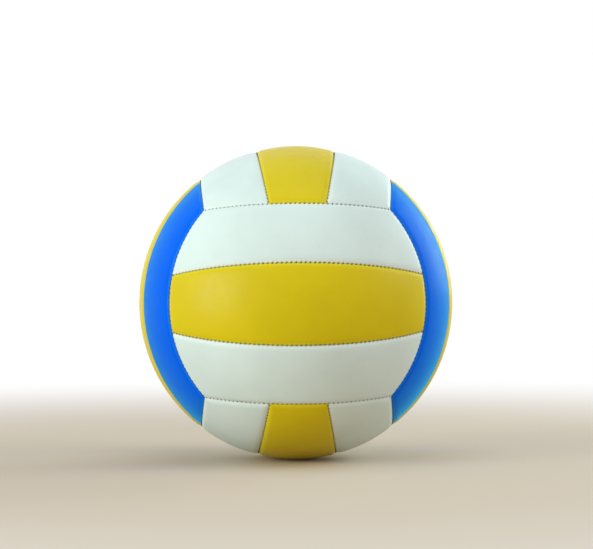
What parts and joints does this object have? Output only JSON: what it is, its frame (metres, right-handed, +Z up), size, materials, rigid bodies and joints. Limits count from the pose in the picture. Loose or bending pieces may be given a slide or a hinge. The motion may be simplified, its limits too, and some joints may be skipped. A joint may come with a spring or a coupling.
{
  "type": "volleyball",
  "caption": "Sewn volleyball: panelled synthetic leather cover in white, yellow and blue over a rubber bladder, with a needle valve at the back.",
  "frame": {"origin": "centre of the ball", "axes": "+Z up, the front face looks along -Y, the valve is in the middle of the back, on +Y"},
  "size_m": [0.21, 0.2099, 0.21],
  "materials": {
    "panel_white": "soft synthetic leather, fine grain, satin",
    "panel_yellow": "soft synthetic leather, fine grain, satin",
    "panel_blue": "soft synthetic leather, fine grain, satin",
    "backing": "foam with a cloth back",
    "thread": "waxed polyester thread",
    "bladder": "smooth butyl rubber",
    "valve": "matte moulded rubber",
    "patch": "woven cloth"
  },
  "bodies": {
    "root": {"front_upper_panel": "panel_white", "front_middle_panel": "panel_yellow", "front_lower_panel": "panel_white", "back_upper_panel": "panel_white", "back_middle_panel": "panel_yellow", "back_lower_panel": "panel_white", "top_left_panel": "panel_white", "top_middle_panel": "panel_yellow", "top_right_panel": "panel_white", "bottom_left_panel": "panel_white", "bottom_middle_panel": "panel_yellow", "bottom_right_panel": "panel_white", "left_front_panel": "panel_blue", "left_middle_panel": "panel_yellow", "left_back_panel": "panel_blue", "right_front_panel": "panel_blue", "right_middle_panel": "panel_yellow", "right_back_panel": "panel_blue", "front_upper_backing": "backing", "front_middle_backing": "backing", "front_lower_backing": "backing", "back_upper_backing": "backing", "back_middle_backing": "backing", "back_lower_backing": "backing", "top_left_backing": "backing", "top_middle_backing": "backing", "top_right_backing": "backing", "bottom_left_backing": "backing", "bottom_middle_backing": "backing", "bottom_right_backing": "backing", "left_front_backing": "backing", "left_middle_backing": "backing", "left_back_backing": "backing", "right_front_backing": "backing", "right_middle_backing": "backing", "right_back_backing": "backing", "front_strip_threads": "thread", "back_strip_threads": "thread", "top_strip_threads": "thread", "bottom_strip_threads": "thread", "left_strip_threads": "thread", "right_strip_threads": "thread", "front_edge_threads": "thread", "back_edge_threads": "thread", "top_edge_threads": "thread", "bottom_edge_threads": "thread", "left_edge_threads": "thread", "right_edge_threads": "thread", "bladder": "bladder", "valve_housing": "valve", "valve_core": "valve", "valve_patch": "patch"}
  },
  "joints": []
}
